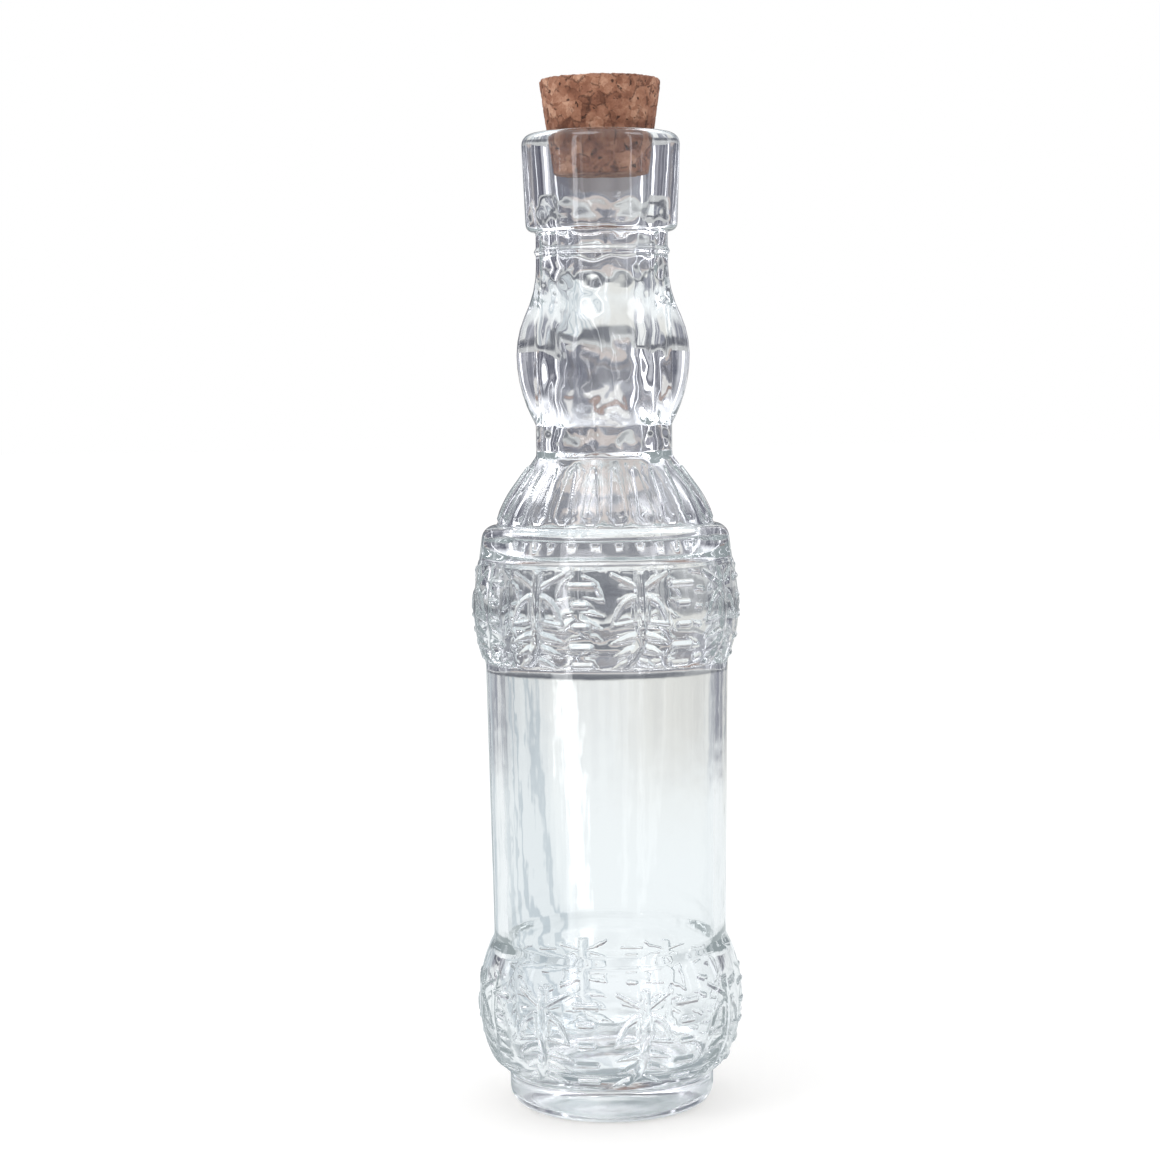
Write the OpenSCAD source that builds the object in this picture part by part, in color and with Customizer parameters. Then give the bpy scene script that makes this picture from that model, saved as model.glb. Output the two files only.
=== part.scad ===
// Round glass bottle with two ornamented bands, a fluted shoulder and a tapered cork stopper.
// Millimetres, +Z up, origin at the centre of the resting ring.

/* [Foot] */
// Radius of the foot
foot_r = 17.2; // [16.6:0.1:17.6]
// Height of the foot below the lower band
foot_h = 5.8; // [5:0.1:6.4]
// Rounding of the heel
heel_r = 3; // [1.5:0.1:4]
// Width of the ring that the bottle rests on
rest_w = 2.7; // [1.5:0.1:5]
// Depth of the hollow pushed up under the base
pushup_h = 2.6; // [1:0.1:3.5]
// Thickness of the base at the edge of the inner floor
base_t = 8.2; // [8:0.1:10]
// Rise of the inner floor in its middle
floor_rise = 1.4; // [0.5:0.1:2.5]

/* [Bands] */
// Radius of both ornamented bands at their widest
band_r = 22.2; // [21.7:0.1:23]
// Height of the lower band from the foot to its widest place
lower_band_under = 12.5; // [12:0.1:13]
// Height of the lower band over its widest place
lower_band_over = 9.9; // [9:0.1:11]
// Angle below the widest place at which the lower band turns under to the foot
under_turn = 25; // [20:1:28]
// Rounding of the lower band where it turns under
under_r = 6.8; // [6:0.1:8]
// Height of the upper band under its widest place
upper_band_under = 9; // [8:0.1:10]
// Height of the upper band from its widest place to the smooth collar
upper_band_over = 7.8; // [7.4:0.1:8.8]
// Angle above the widest place at which the upper band becomes straight
brow_turn = 7.2; // [5:0.1:10]
// Height of the smooth collar
collar_h = 5.9; // [4.5:0.1:7]
// Setback of the collar from the ornamented field
collar_step = 0.2; // [0.1:0.05:0.4]
// Rounding of the collar's top corner
collar_corner_r = 2.3; // [1:0.1:3]
// Wall of the bands
band_wall = 2.9; // [2.4:0.1:3.4]

/* [Body] */
// Length of the plain body between the two bands
body_h = 47; // [30:1:70]
// Radius of the plain body just above the lower band
body_low_r = 19.55; // [19.2:0.05:19.8]
// Radius of the plain body just below the upper band
body_top_r = 20.3; // [19.8:0.05:20.8]
// Wall of the plain body
body_wall = 1.9; // [1.5:0.1:2.6]

/* [Dome] */
// Radius of the ball that the dome is cut from
dome_r = 18.8; // [18.3:0.1:19.2]
// Depth of the ball's centre below the collar's ledge
dome_drop = 4.9; // [4:0.1:5.5]
// Angle above the ball's centre at which the dome becomes a straight slope
dome_turn = 36; // [33:0.5:38]
// Wall of the dome
dome_wall = 2.6; // [2.2:0.1:3]

/* [Neck] */
// Radius of the short neck over the dome
neck_r = 11.35; // [11.1:0.05:11.7]
// Length of that neck
neck_h = 5.2; // [3:0.1:8]
// Radius of the onion bulge at its widest
bulge_r = 14.4; // [14:0.1:15]
// Height from the bulge's widest place to the straight upper neck
bulge_over = 15; // [13:0.1:17]
// Curve of the bulge's lower half
bulge_belly_r = 22.9; // [22:0.1:25]
// Curve of the bulge's upper half
bulge_brow_r = 16; // [14:0.1:17]
// Radius of the upper neck
upper_neck_r = 10.95; // [10.6:0.05:11.3]
// Length of the upper neck up to the mouth ring
upper_neck_h = 5.4; // [4:0.1:8]
// Depth of the fine thread line below the mouth ring
thread_drop = 3.3; // [1.5:0.1:3.6]
// Radius of the thread line's section
thread_r = 0.4; // [0.3:0.05:0.6]
// Radius of the bore through the neck
neck_bore_r = 7.6; // [7:0.1:8]

/* [Mouth ring] */
// Height of the mouth ring
ring_h = 16.1; // [14:0.1:18]
// Radius of the ring below the lip
ring_r = 13.1; // [12.8:0.1:13.6]
// Radius of the ring at its lower edge
ring_low_r = 12.6; // [12.3:0.1:12.9]
// Rounding of the ring's lower edge
ring_edge_r = 1.2; // [0.6:0.1:1.8]
// Rounding of the lip's outer edge
lip_r = 1.8; // [1:0.1:2.4]
// Rounding of the lip's inner edge
lip_inner_r = 0.7; // [0.4:0.1:1]
// Depth of the tapered seat below the cork
seat_under = 3.9; // [1:0.1:5]
// Play between the seat's lower end and the cork
seat_play = 0.45; // [0.3:0.05:1]

/* [Ornament] */
// Number of sprigs round each band
sprigs = 8; // [8:1:8]
// Turn of the first sprig from the front, to the right
sprig_turn = -30.5; // [-45:0.5:45]
// Height of the ornament above the glass
relief_h = 0.5; // [0.3:0.05:0.8]
// How far a sprig's middle lies below the lower band's widest place
lower_sprig_drop = 3.1; // [2.6:0.1:3.4]
// The same for the upper band
upper_sprig_drop = 1; // [0.6:0.1:1.2]
// Width of a sprig's stem
stem_w = 2; // [1.6:0.1:2.4]
// Turn of the stack of bars from its sprig
bars_turn = 19.75; // [19:0.25:21]
// Height of one bar
bar_h = 1.2; // [0.9:0.1:1.4]
// Number of flutes on the dome for each sprig
flutes_each = 3; // [3:1:3]
// Gap between the collar's ledge and the flutes
flute_low_gap = 0.7; // [0.5:0.1:1.6]
// Gap between the flutes and the neck
flute_top_gap = 1.4; // [1:0.1:2.4]
// Width of a flute at its lower end
flute_low_w = 2.9; // [2.4:0.1:3.2]
// Width of a flute at its upper end
flute_top_w = 1.2; // [0.9:0.1:1.5]

/* [Cork] */
// Radius of the cork's top
cork_top_r = 10.1; // [9.9:0.05:10.5]
// Radius of the cork's lower end
cork_low_r = 7.9; // [7.6:0.05:8.1]
// Length of the cork
cork_h = 16; // [14:0.5:18]
// Height of the cork's top above the lip
cork_out = 8.9; // [7.5:0.1:10]
// Chamfer of the cork's ends
cork_chamfer = 0.35; // [0.2:0.05:0.6]
// Clearance of the cork in the mouth
cork_clearance = 0.12; // [0.08:0.01:0.2]

/* [Hidden] */
$fn = 96;
glass = [0.82, 0.9, 0.92, 0.45];
cork_brown = [0.62, 0.38, 0.24];
reach = 30; // further out than any radius
lap = 1; // length by which two stretches of the outline run into each other
bite = 0.002; // depth by which a stretch starts inside the one that it touches

// Heights of the bands, the body between them and the collar, each standing on the one below
lower_band_z = foot_h + lower_band_under;
lower_band_top = lower_band_z + lower_band_over;
upper_band_low = lower_band_top + body_h;
upper_band_z = upper_band_low + upper_band_under;
collar_z = upper_band_z + upper_band_over;
ledge_z = collar_z + collar_h;

// The arc that turns the lower band under to the foot touches the band at under_turn
pushup_r = foot_r - heel_r - rest_w;
under_x = (band_r - under_r) * cos(under_turn);
under_z = lower_band_z - (band_r - under_r) * sin(under_turn);
floor_r = under_x + sqrt(max(0, (under_r - band_wall) ^ 2 - (base_t - under_z) ^ 2));

// The dome's straight slope ends on the neck, outside and inside
dome_z = ledge_z - dome_drop;
neck_z = slope_end(dome_z, dome_r, dome_turn, neck_r);
neck_inner_z = slope_end(dome_z, dome_r - dome_wall, dome_turn, neck_bore_r);

// The neck bulge turns into the hollow curve above it where both arcs have one tangent
bulge_foot = neck_z + neck_h;
bulge_z = bulge_foot + sqrt(bulge_belly_r ^ 2 - (bulge_belly_r - bulge_r + neck_r) ^ 2);
upper_neck_z = bulge_z + bulge_over;
hollow_fall = bulge_r - upper_neck_r;
hollow_turn = 2 * atan(hollow_fall / bulge_over);
hollow_r = bulge_over / sin(hollow_turn) - bulge_brow_r;
turn_z = bulge_z + bulge_brow_r * sin(hollow_turn);

ring_z = upper_neck_z + upper_neck_h;
thread_z = ring_z - thread_drop;
lip_z = ring_z + ring_h;

// The cork and the seat it wedges in
cork_z = lip_z + cork_out - cork_h;
cork_lip_r = cork_low_r + (cork_top_r - cork_low_r) * (lip_z - cork_z) / cork_h;
mouth_r = cork_lip_r + cork_clearance;
seat_z = cork_z - seat_under;
seat_low_r = max(neck_bore_r, cork_low_r + seat_play);

// Ends of the flutes on the dome
flute_low_z = ledge_z + flute_low_gap;
flute_top_z = neck_z - flute_top_gap;

// Heights and widths of the five bars between two sprigs, about the sprigs' middle
bars = [[6, 5.2], [2.9, 3.4], [-0.5, 3.4], [-3.9, 4.4], [-6.9, 4.2]];

// Height at which the slope touching a ball of radius ball_r at angle turn has come in to end_r
function slope_end(ball_z, ball_r, turn, end_r) =
    ball_z + ball_r * sin(turn) + (ball_r * cos(turn) - end_r) / tan(turn);

// Radius of a band at height rise from its widest place
function band_edge_r(rise) = sqrt(band_r ^ 2 - rise ^ 2);

// Radius of the upper band's straight brow at height z, with its surface moved out by extra
function brow_r(extra, z) =
    (band_r + extra) / cos(brow_turn) - tan(brow_turn) * (z - upper_band_z);

module straight_part(r0, z0, r1, z1) {
    polygon([[0, z0], [r0, z0], [r1, z1], [0, z1]]);
}

// Everything to the right of the axis between two heights
module between(z0, z1) {
    intersection() {
        children();
        translate([0, z0]) square([reach, z1 - z0]);
    }
}

// A ball about the axis from z0 up to the angle turn, and from there a slope that touches it, up to z1
module crowned_part(ball_z, ball_r, turn, z0, z1) {
    touch_r = ball_r * cos(turn) - bite;
    touch_z = ball_z + ball_r * sin(turn);
    between(z0, z1) translate([0, ball_z]) circle(ball_r);
    straight_part(touch_r, touch_z, touch_r - tan(turn) * (z1 - touch_z), z1);
}

// An arc of radius curve_r that is widest by wide_r at height wide_z
module arc_part(wide_r, wide_z, curve_r, z0, z1) {
    between(z0, z1) translate([wide_r - curve_r, wide_z]) circle(curve_r);
}

// Lower band from height z0 to z1, with its surface moved out by extra
module lower_band(extra, z0, z1) {
    arc_top = lower_band_z - (band_r + extra) * sin(under_turn);
    between(arc_top, z1) translate([0, lower_band_z]) circle(band_r + extra);
    between(z0, lower_band_z) translate([under_x, under_z]) circle(under_r + extra + bite);
    translate([0, z0]) square([under_x, lower_band_z - z0]);
}

module upper_band(extra) {
    crowned_part(upper_band_z, band_r + extra, brow_turn, upper_band_low - lap, collar_z);
}

module foot() {
    translate([foot_r - heel_r, heel_r]) circle(heel_r);
    square([foot_r - heel_r, foot_h]);
    translate([0, heel_r]) square([foot_r, foot_h - heel_r + lap]);
}

module collar() {
    corner_z = ledge_z - collar_corner_r;
    low_r = brow_r(0, collar_z) - collar_step;
    corner_x = low_r - tan(brow_turn) * (corner_z - collar_z) - collar_corner_r / cos(brow_turn);
    touch_z = corner_z + collar_corner_r * sin(brow_turn);
    touch_r = corner_x + collar_corner_r * cos(brow_turn);
    rise = touch_z - collar_z + lap;
    straight_part(touch_r + tan(brow_turn) * rise - bite, collar_z - lap, touch_r - bite, touch_z);
    translate([corner_x, corner_z]) circle(collar_corner_r);
    translate([0, corner_z]) square([corner_x, collar_corner_r]);
}

module bulge() {
    arc_part(bulge_r, bulge_z, bulge_belly_r, bulge_foot - lap, bulge_z);
    arc_part(bulge_r + bite, bulge_z, bulge_brow_r, bulge_z - lap, turn_z + lap);
    difference() {
        straight_part(bulge_r, turn_z, bulge_r, upper_neck_z);
        translate([upper_neck_r + hollow_r, upper_neck_z]) circle(hollow_r + bite);
    }
}

module mouth_ring() {
    side_z = ring_z + ring_edge_r;
    top_z = lip_z - lip_r;
    translate([ring_low_r - ring_edge_r, side_z]) circle(ring_edge_r);
    straight_part(ring_low_r - ring_edge_r, ring_z, ring_low_r - ring_edge_r, side_z);
    straight_part(ring_low_r, side_z, ring_r, top_z);
    arc_part(ring_r, top_z, lip_r, top_z, lip_z);
    straight_part(ring_r - lip_r, top_z - lap, ring_r - lip_r, lip_z);
}

module outside() {
    foot();
    lower_band(0, foot_h, lower_band_top);
    straight_part(body_low_r, lower_band_top - lap, body_top_r, upper_band_low + lap);
    upper_band(0);
    collar();
    crowned_part(dome_z, dome_r, dome_turn, ledge_z - lap, neck_z + lap);
    straight_part(neck_r, neck_z - lap, neck_r, bulge_foot + lap);
    bulge();
    straight_part(upper_neck_r, upper_neck_z - lap, upper_neck_r, ring_z + lap);
    translate([upper_neck_r, thread_z]) circle(thread_r);
    mouth_ring();
}

module hollow() {
    inner_band_r = band_r - band_wall;
    inner_brow_z = upper_band_z + inner_band_r * sin(brow_turn);
    inner_dome_r = dome_r - dome_wall;
    inner_ledge_r = sqrt(inner_dome_r ^ 2 - (ledge_z - dome_z) ^ 2) - bite;
    low_throat_r = min(body_low_r, band_edge_r(lower_band_over)) - body_wall;
    top_throat_r = min(body_top_r, band_edge_r(upper_band_under)) - body_wall;
    lower_band(-band_wall, base_t, lower_band_top - body_wall);
    polygon([
        [0, lower_band_z], [low_throat_r, lower_band_z], [low_throat_r, lower_band_top - lap],
        [body_low_r - body_wall, lower_band_top + body_wall],
        [body_top_r - body_wall, upper_band_low - body_wall],
        [top_throat_r, upper_band_low + lap], [top_throat_r, upper_band_z], [0, upper_band_z],
    ]);
    between(upper_band_low + body_wall, collar_z) translate([0, upper_band_z]) circle(inner_band_r);
    polygon([
        [0, inner_brow_z], [brow_r(-band_wall, inner_brow_z) - bite, inner_brow_z],
        [brow_r(-band_wall, collar_z) - bite, collar_z], [inner_ledge_r, ledge_z], [0, ledge_z],
    ]);
    crowned_part(dome_z, inner_dome_r, dome_turn, ledge_z - lap, neck_inner_z + lap);
    polygon([
        [0, neck_inner_z - lap], [neck_bore_r, neck_inner_z - lap],
        [neck_bore_r, seat_z - seat_low_r + neck_bore_r], [seat_low_r, seat_z],
        [mouth_r, lip_z - lip_inner_r], [mouth_r, lip_z + lap], [0, lip_z + lap],
    ]);
    difference() {
        translate([0, lip_z - lip_inner_r]) square([mouth_r + lip_inner_r, lip_inner_r + lap]);
        translate([mouth_r + lip_inner_r, lip_z - lip_inner_r]) circle(lip_inner_r + bite);
    }
}

// The cap of a ball that stands up by rise over a circle of radius r
module cap(r, rise) {
    ball_r = (r ^ 2 + rise ^ 2) / (2 * rise);
    translate([0, rise - ball_r]) circle(ball_r);
}

// The outline on which the ornament's faces lie
module ornament_outside() {
    lower_band(relief_h, foot_h, lower_band_top);
    upper_band(relief_h);
    crowned_part(dome_z, dome_r + relief_h, dome_turn, ledge_z, neck_z);
}

// Leaf with a round back, from the stem out to its tip, seen on the right of the stem
module arched_leaf() {
    difference() {
        polygon([[0.5, 4.8], [1.7, 4.7], [3, 3.8], [4.1, 2.4], [5.1, -0.9], [0.5, -0.1]]);
        polygon([[1.6, 3.2], [2.7, 2.5], [4, 0.2], [1.6, 0.6]]);
    }
}

module twig() {
    polygon([[0.5, 4.9], [4.9, 7.6], [4.6, 8.3], [0.5, 6.2]]);
}

module low_leaf(root_z, length, drop) {
    polygon([
        [0.5, root_z],
        [length * 0.45, root_z - drop * 0.2],
        [length, root_z - drop],
        [length * 0.5, root_z - drop * 0.2 - 1.5],
        [0.5, root_z - 1.6],
    ]);
}

module sprig() {
    half = stem_w / 2;
    polygon([
        [-half, 8.6], [-half, -1.5], [-half - 0.5, -4], [-half - 2.2, -7.7],
        [-half - 1.3, -8], [-half + 0.6, -6.3], [half + 0.1, -3], [half, -1], [half, 8.6],
    ]);
    for (side = [0, 1]) mirror([side, 0]) {
        twig();
        arched_leaf();
        low_leaf(-1.2, 5.3, 2.2);
        low_leaf(-3.3, 4.9, 2.4);
    }
    translate([-0.9, 0]) low_leaf(-5.4, 5, 2.6);
    translate([-1.3, 0]) mirror([1, 0]) low_leaf(-5.6, 4.2, 2.8);
}

// Bar with pointed ends
module bar(width) {
    half = width / 2;
    flat = half - bar_h / 3;
    h = bar_h / 2;
    polygon([[-half, 0], [-flat, -h], [flat, -h], [half, 0], [flat, h], [-flat, h]]);
}

module flute() {
    low = flute_low_w / 2;
    top = flute_top_w / 2;
    polygon([
        [-low / 2, flute_low_z], [low / 2, flute_low_z], [low, flute_low_z + low * 0.7],
        [top, flute_top_z - top], [0, flute_top_z], [-top, flute_top_z - top],
        [-low, flute_low_z + low * 0.7],
    ]);
}

// Pushes a flat drawing out of the axis in direction turn, from radius from to beyond the glass
module push_out(turn, from) {
    rotate([0, 0, turn]) translate([from, 0, 0]) rotate([90, 0, 90])
        linear_extrude(reach - from) children();
}

module ornament() {
    inside_wall = under_x + under_r / 2;
    for (n = [0 : sprigs - 1]) {
        turn = sprig_turn - 90 + n * 360 / sprigs;
        for (z = [lower_band_z - lower_sprig_drop, upper_band_z - upper_sprig_drop]) {
            push_out(turn, inside_wall) translate([0, z]) sprig();
            push_out(turn + bars_turn, inside_wall) for (b = bars) translate([0, z + b[0]]) bar(b[1]);
        }
        for (k = [0 : flutes_each - 1]) {
            push_out(turn + (k - 0.5) * 360 / sprigs / flutes_each, neck_r - 0.1) flute();
        }
    }
}

module bottle() color(glass) difference() {
    union() {
        rotate_extrude() outside();
        intersection() {
            rotate_extrude() ornament_outside();
            ornament();
        }
    }
    rotate_extrude() difference() {
        hollow();
        translate([0, base_t]) cap(floor_r, floor_rise);
    }
    rotate_extrude() between(-lap, pushup_h + lap) cap(pushup_r, pushup_h);
}

module cork_stopper() color(cork_brown) translate([0, 0, cork_z]) {
    low = cork_low_r;
    slope = (cork_top_r - cork_low_r) / cork_h;
    c = cork_chamfer;
    rotate_extrude() polygon([
        [0, 0], [low - c, 0], [low + slope * c, c],
        [cork_top_r - slope * c, cork_h - c], [cork_top_r - c, cork_h], [0, cork_h],
    ]);
}

bottle();
cork_stopper();
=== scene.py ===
import math
import random

import bpy
import numpy as np
from mathutils import Matrix, Vector, geometry, kdtree, noise


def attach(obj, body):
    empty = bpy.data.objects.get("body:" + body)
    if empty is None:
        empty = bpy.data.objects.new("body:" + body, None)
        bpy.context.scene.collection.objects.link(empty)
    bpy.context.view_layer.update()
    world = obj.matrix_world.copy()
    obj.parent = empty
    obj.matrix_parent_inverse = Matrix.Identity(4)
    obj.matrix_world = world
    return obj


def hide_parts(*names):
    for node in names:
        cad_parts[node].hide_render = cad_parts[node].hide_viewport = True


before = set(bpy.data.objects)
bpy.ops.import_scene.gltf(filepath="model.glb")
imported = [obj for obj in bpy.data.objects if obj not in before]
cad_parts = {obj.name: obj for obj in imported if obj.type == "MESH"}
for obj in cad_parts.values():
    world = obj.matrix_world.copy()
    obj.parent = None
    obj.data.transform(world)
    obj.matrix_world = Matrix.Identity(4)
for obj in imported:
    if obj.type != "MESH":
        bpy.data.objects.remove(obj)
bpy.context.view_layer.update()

mm = 0.001
random.seed(11)
noise.seed_set(11)


# One value socket. Arithmetic on it adds Math nodes.
class Sock:
    def __init__(self, tree, out):
        self.tree, self.out = tree, out

    def maths(self, operation, first, second):
        node = self.tree.nodes.new("ShaderNodeMath")
        node.operation = operation
        plug(self.tree, first, node.inputs[0])
        plug(self.tree, second, node.inputs[1])
        return Sock(self.tree, node.outputs[0])

    def __add__(self, other):
        return self.maths("ADD", self, other)

    def __radd__(self, other):
        return self.maths("ADD", other, self)

    def __sub__(self, other):
        return self.maths("SUBTRACT", self, other)

    def __rsub__(self, other):
        return self.maths("SUBTRACT", other, self)

    def __mul__(self, other):
        return self.maths("MULTIPLY", self, other)

    def __gt__(self, other):
        return self.maths("GREATER_THAN", self, other)


def plug(tree, value, socket):
    if isinstance(value, Sock):
        tree.links.new(value.out, socket)
    elif isinstance(value, tuple) and len(value) == 3 and len(socket.default_value) == 4:
        socket.default_value = (*value, 1)
    else:
        socket.default_value = value


# A node tree with one method that makes any node: settings first, then sockets.
class Tree:
    def __init__(self, tree):
        self.tree = tree
        tree.nodes.clear()

    def make(self, kind, settings=None, sockets=None, out=0):
        node = self.tree.nodes.new(kind)
        for name, value in (settings or {}).items():
            if name == "stops":
                stops = node.color_ramp.elements
                for i, (place, colour) in enumerate(value):
                    stop = stops[i] if i < 2 else stops.new(place)
                    stop.position, stop.color = place, (*colour, 1)
            else:
                setattr(node, name, value)
        for name, value in (sockets or {}).items():
            plug(self.tree, value, node.inputs[name])
        return Sock(self.tree, node.outputs[out]) if len(node.outputs) else node

    def mix(self, factor, first, second, blend="MIX"):
        return self.make("ShaderNodeMix", {"data_type": "RGBA", "blend_type": blend},
                         {0: factor, 6: first, 7: second}, out=2)

    def mottle(self, vector, scale, detail=2.0, out=0):
        sockets = {"Vector": vector, "Scale": scale, "Detail": detail}
        return self.make("ShaderNodeTexNoise", None, sockets, out)

    def step(self, value, low, high):       # 0 up to low, 1 from high on, smooth between
        return self.make("ShaderNodeMapRange", {"interpolation_type": "SMOOTHSTEP"},
                         {0: value, 1: low, 2: high, 3: 0.0, 4: 1.0})

    def window(self, value, low, high, soft):       # 1 between low and high
        return self.step(value, low - soft, low + soft) * (1 - self.step(value, high - soft, high + soft))


def newMaterial(name):
    material = bpy.data.materials.new(name)
    material.use_nodes = True
    return material, Tree(material.node_tree)


# Camera at the photograph's viewing angle. The bottle leans a little in the frame, so the camera is rolled.
view = {
    "distance": 430 * mm, "height": 123.1 * mm, "pitch": 4.6, "roll": -0.75,
    "focalPixels": 2574, "axisShift": 26, "frame": 1160, "sensor": 36.0, "clip": (0.01, 50),
}


def placeCamera(v):
    data = bpy.data.cameras.new("camera")
    data.sensor_fit, data.sensor_width = "HORIZONTAL", v["sensor"]
    data.lens = v["sensor"] * v["focalPixels"] / v["frame"]
    data.clip_start, data.clip_end = v["clip"]
    pitch = math.radians(v["pitch"])
    yaw = math.atan(v["axisShift"] / v["focalPixels"] * math.cos(pitch))
    turn = (Matrix.Rotation(yaw, 4, "Z") @ Matrix.Rotation(math.pi / 2 - pitch, 4, "X")
            @ Matrix.Rotation(math.radians(v["roll"]), 4, "Z"))
    camera = bpy.data.objects.new("camera", data)
    camera.matrix_world = Matrix.Translation((0, -v["distance"], v["height"])) @ turn
    bpy.context.scene.collection.objects.link(camera)
    bpy.context.scene.camera = camera


placeCamera(view)
print("camera placed")


# Outline of the glass, in mm from the axis and above the resting ring.
glass = {
    "footR": 17.2, "heelR": 3.0, "restW": 2.7, "pushupH": 2.6, "baseT": 8.2, "floorRise": 1.4,
    "bandR": 22.2, "lowerBandZ": 18.3, "lowerBandTop": 28.2, "underTurn": 25.0, "underR": 6.8,
    "bodyLowR": 19.55, "bodyTopR": 20.3, "upperBandLow": 75.2, "upperBandZ": 84.2, "browTurn": 7.2,
    "collarZ": 92.0, "ledgeZ": 97.9, "collarStep": 0.2, "cornerR": 2.3,
    "domeR": 18.8, "domeDrop": 4.9, "domeTurn": 36.0,
    "neckR": 11.35, "neckH": 5.2, "bulgeR": 14.4, "bellyR": 22.9, "browR": 16.0, "bulgeOver": 15.0,
    "upperNeckR": 10.95, "upperNeckH": 5.4, "threadDrop": 3.3, "threadR": 0.4,
    "ringH": 16.1, "ringLowR": 12.6, "ringR": 13.1, "ringEdgeR": 1.2, "lipR": 1.8, "lipInnerR": 0.7,
    "bandWall": 2.9, "bodyWall": 1.9, "domeWall": 2.6, "boreR": 7.6, "seatLowR": 8.35, "mouthR": 9.0,
    "seatUnder": 10.98,
    "seatFade": 5.0,                    # the seat runs into the bore over this length
    "softness": 0.28,                   # how far the mould's corners are rounded off
    "softerReach": (2.4, 2.0),          # and more than that this near to where the bands meet the body
    "columns": 192,
    "longStep": 2.2, "innerStep": 1.6, "turnStep": 9.0,     # rows no further apart, in mm and degrees
    "axisGap": 0.25, "floorGap": 0.3,   # first ring of points round the axis, underneath and inside
    "lipTurn": 4.0,                     # from this far past the lip on, the inside is uneven
    # unevenness of the blown inside: ribs that run up the glass, and dents in the neck
    "bodyWave": 0.03, "neckWave": 0.17, "neckDent": 0.055, "neckFrom": 102.0, "neckFade": 10.0,
    "waves": 13, "waveSize": 0.75, "wavePace": (0.6, 1.6), "waveLength": 19.0,
    "dents": 26, "dentsRound": (2, 11), "dentPace": (0.5, 1.5),
    "evenFrom": 149.5, "evenTo": 151.4, "evenR": 8.0,
    # the material: sizes of its ripples, how dull it is, and its matt underside up to a height
    "tint": (0.987, 0.996, 0.998), "ior": 1.49,
    "rippleScale": 190.0, "drawnScale": (420.0, 420.0, 45.0), "rippleDepth": 0.045,
    "hazeScale": 70.0, "haze": 0.02, "matt": 0.3, "mattFrom": 0.6, "mattTo": 2.9,
    "shutInAfter": 3.5, "shutInTone": (0.5, 0.58, 0.6), "shutInGlow": 0.3,
}


def arcPoints(centreR, centreZ, radius, start, end, step=0.08):
    count = max(3, int(abs(math.radians(end - start)) * radius / step))
    turns = np.radians(np.linspace(start, end, count))
    return [(centreR + radius * math.cos(t), centreZ + radius * math.sin(t)) for t in turns]


def slopeEnd(ballZ, ballR, turn, endR):     # height where the slope touching a ball has come in to endR
    t = math.radians(turn)
    return ballZ + ballR * math.sin(t) + (ballR * math.cos(t) - endR) / math.tan(t)


def capPoints(edgeR, edgeZ, rise):          # a shallow cap from the axis out to its edge
    ballR = (edgeR ** 2 + rise ** 2) / (2 * rise)
    half = math.degrees(math.asin(edgeR / ballR))
    return arcPoints(0, edgeZ + rise - ballR, ballR, 90, 90 - half)


def degAsin(x):
    return math.degrees(math.asin(x))


def browEdge(g, bandR, z):                  # radius of the straight flank above the upper band
    turn = math.radians(g["browTurn"])
    return bandR / math.cos(turn) - math.tan(turn) * (z - g["upperBandZ"])


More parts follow.
